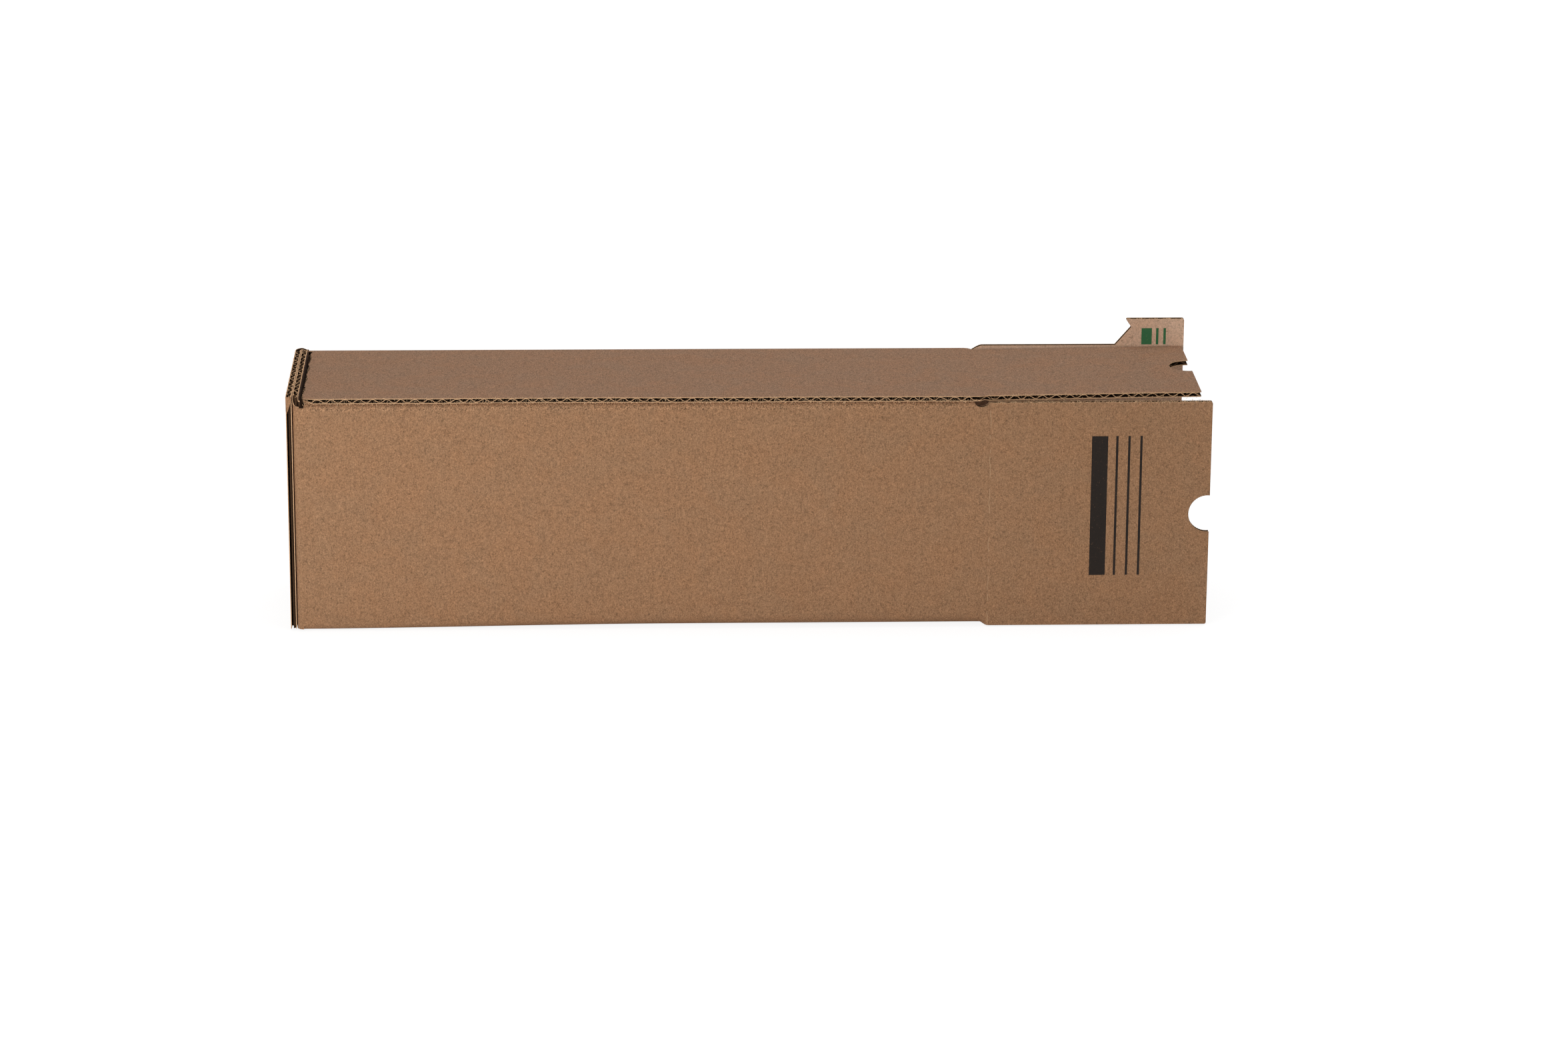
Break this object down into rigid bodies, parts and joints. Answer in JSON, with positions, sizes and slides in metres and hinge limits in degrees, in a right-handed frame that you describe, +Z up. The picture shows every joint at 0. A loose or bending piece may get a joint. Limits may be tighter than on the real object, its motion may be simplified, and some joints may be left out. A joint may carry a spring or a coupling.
{
  "type": "long shipping box",
  "caption": "Long corrugated shipping box with one glued end and one open end with front, top and rear flaps.",
  "frame": {"origin": "under the middle of the box, on the surface that it lies on", "axes": "+X along the box towards its open end, -Y out of the front face with the thumb-notched flap, +Z up"},
  "size_m": [0.426, 0.084, 0.1263],
  "materials": {
    "kraft_front": "matt kraft liner",
    "kraft_top": "matt kraft liner",
    "kraft_inner": "matt kraft liner"
  },
  "bodies": {
    "body": {"box_body": "kraft_front"},
    "front": {"front_flap": "kraft_front"},
    "top": {"top_flap": "kraft_top"},
    "rear": {"rear_flap": "kraft_inner"}
  },
  "joints": [
    {"name": "front_flap_crease", "type": "hinge", "parent": "body", "child": "front", "pos_m": [0.1105, -0.042, 0.0535], "axis": [0, 0, 1], "range_deg": [-150, 48]},
    {"name": "top_flap_crease", "type": "hinge", "parent": "body", "child": "top", "pos_m": [0.1074, 0, 0.111], "axis": [0, 1, 0], "range_deg": [-150, 90]},
    {"name": "rear_flap_crease", "type": "hinge", "parent": "body", "child": "rear", "pos_m": [0.1075, 0.042, 0.0555], "axis": [0, 0, 1], "range_deg": [0, 150]}
  ]
}
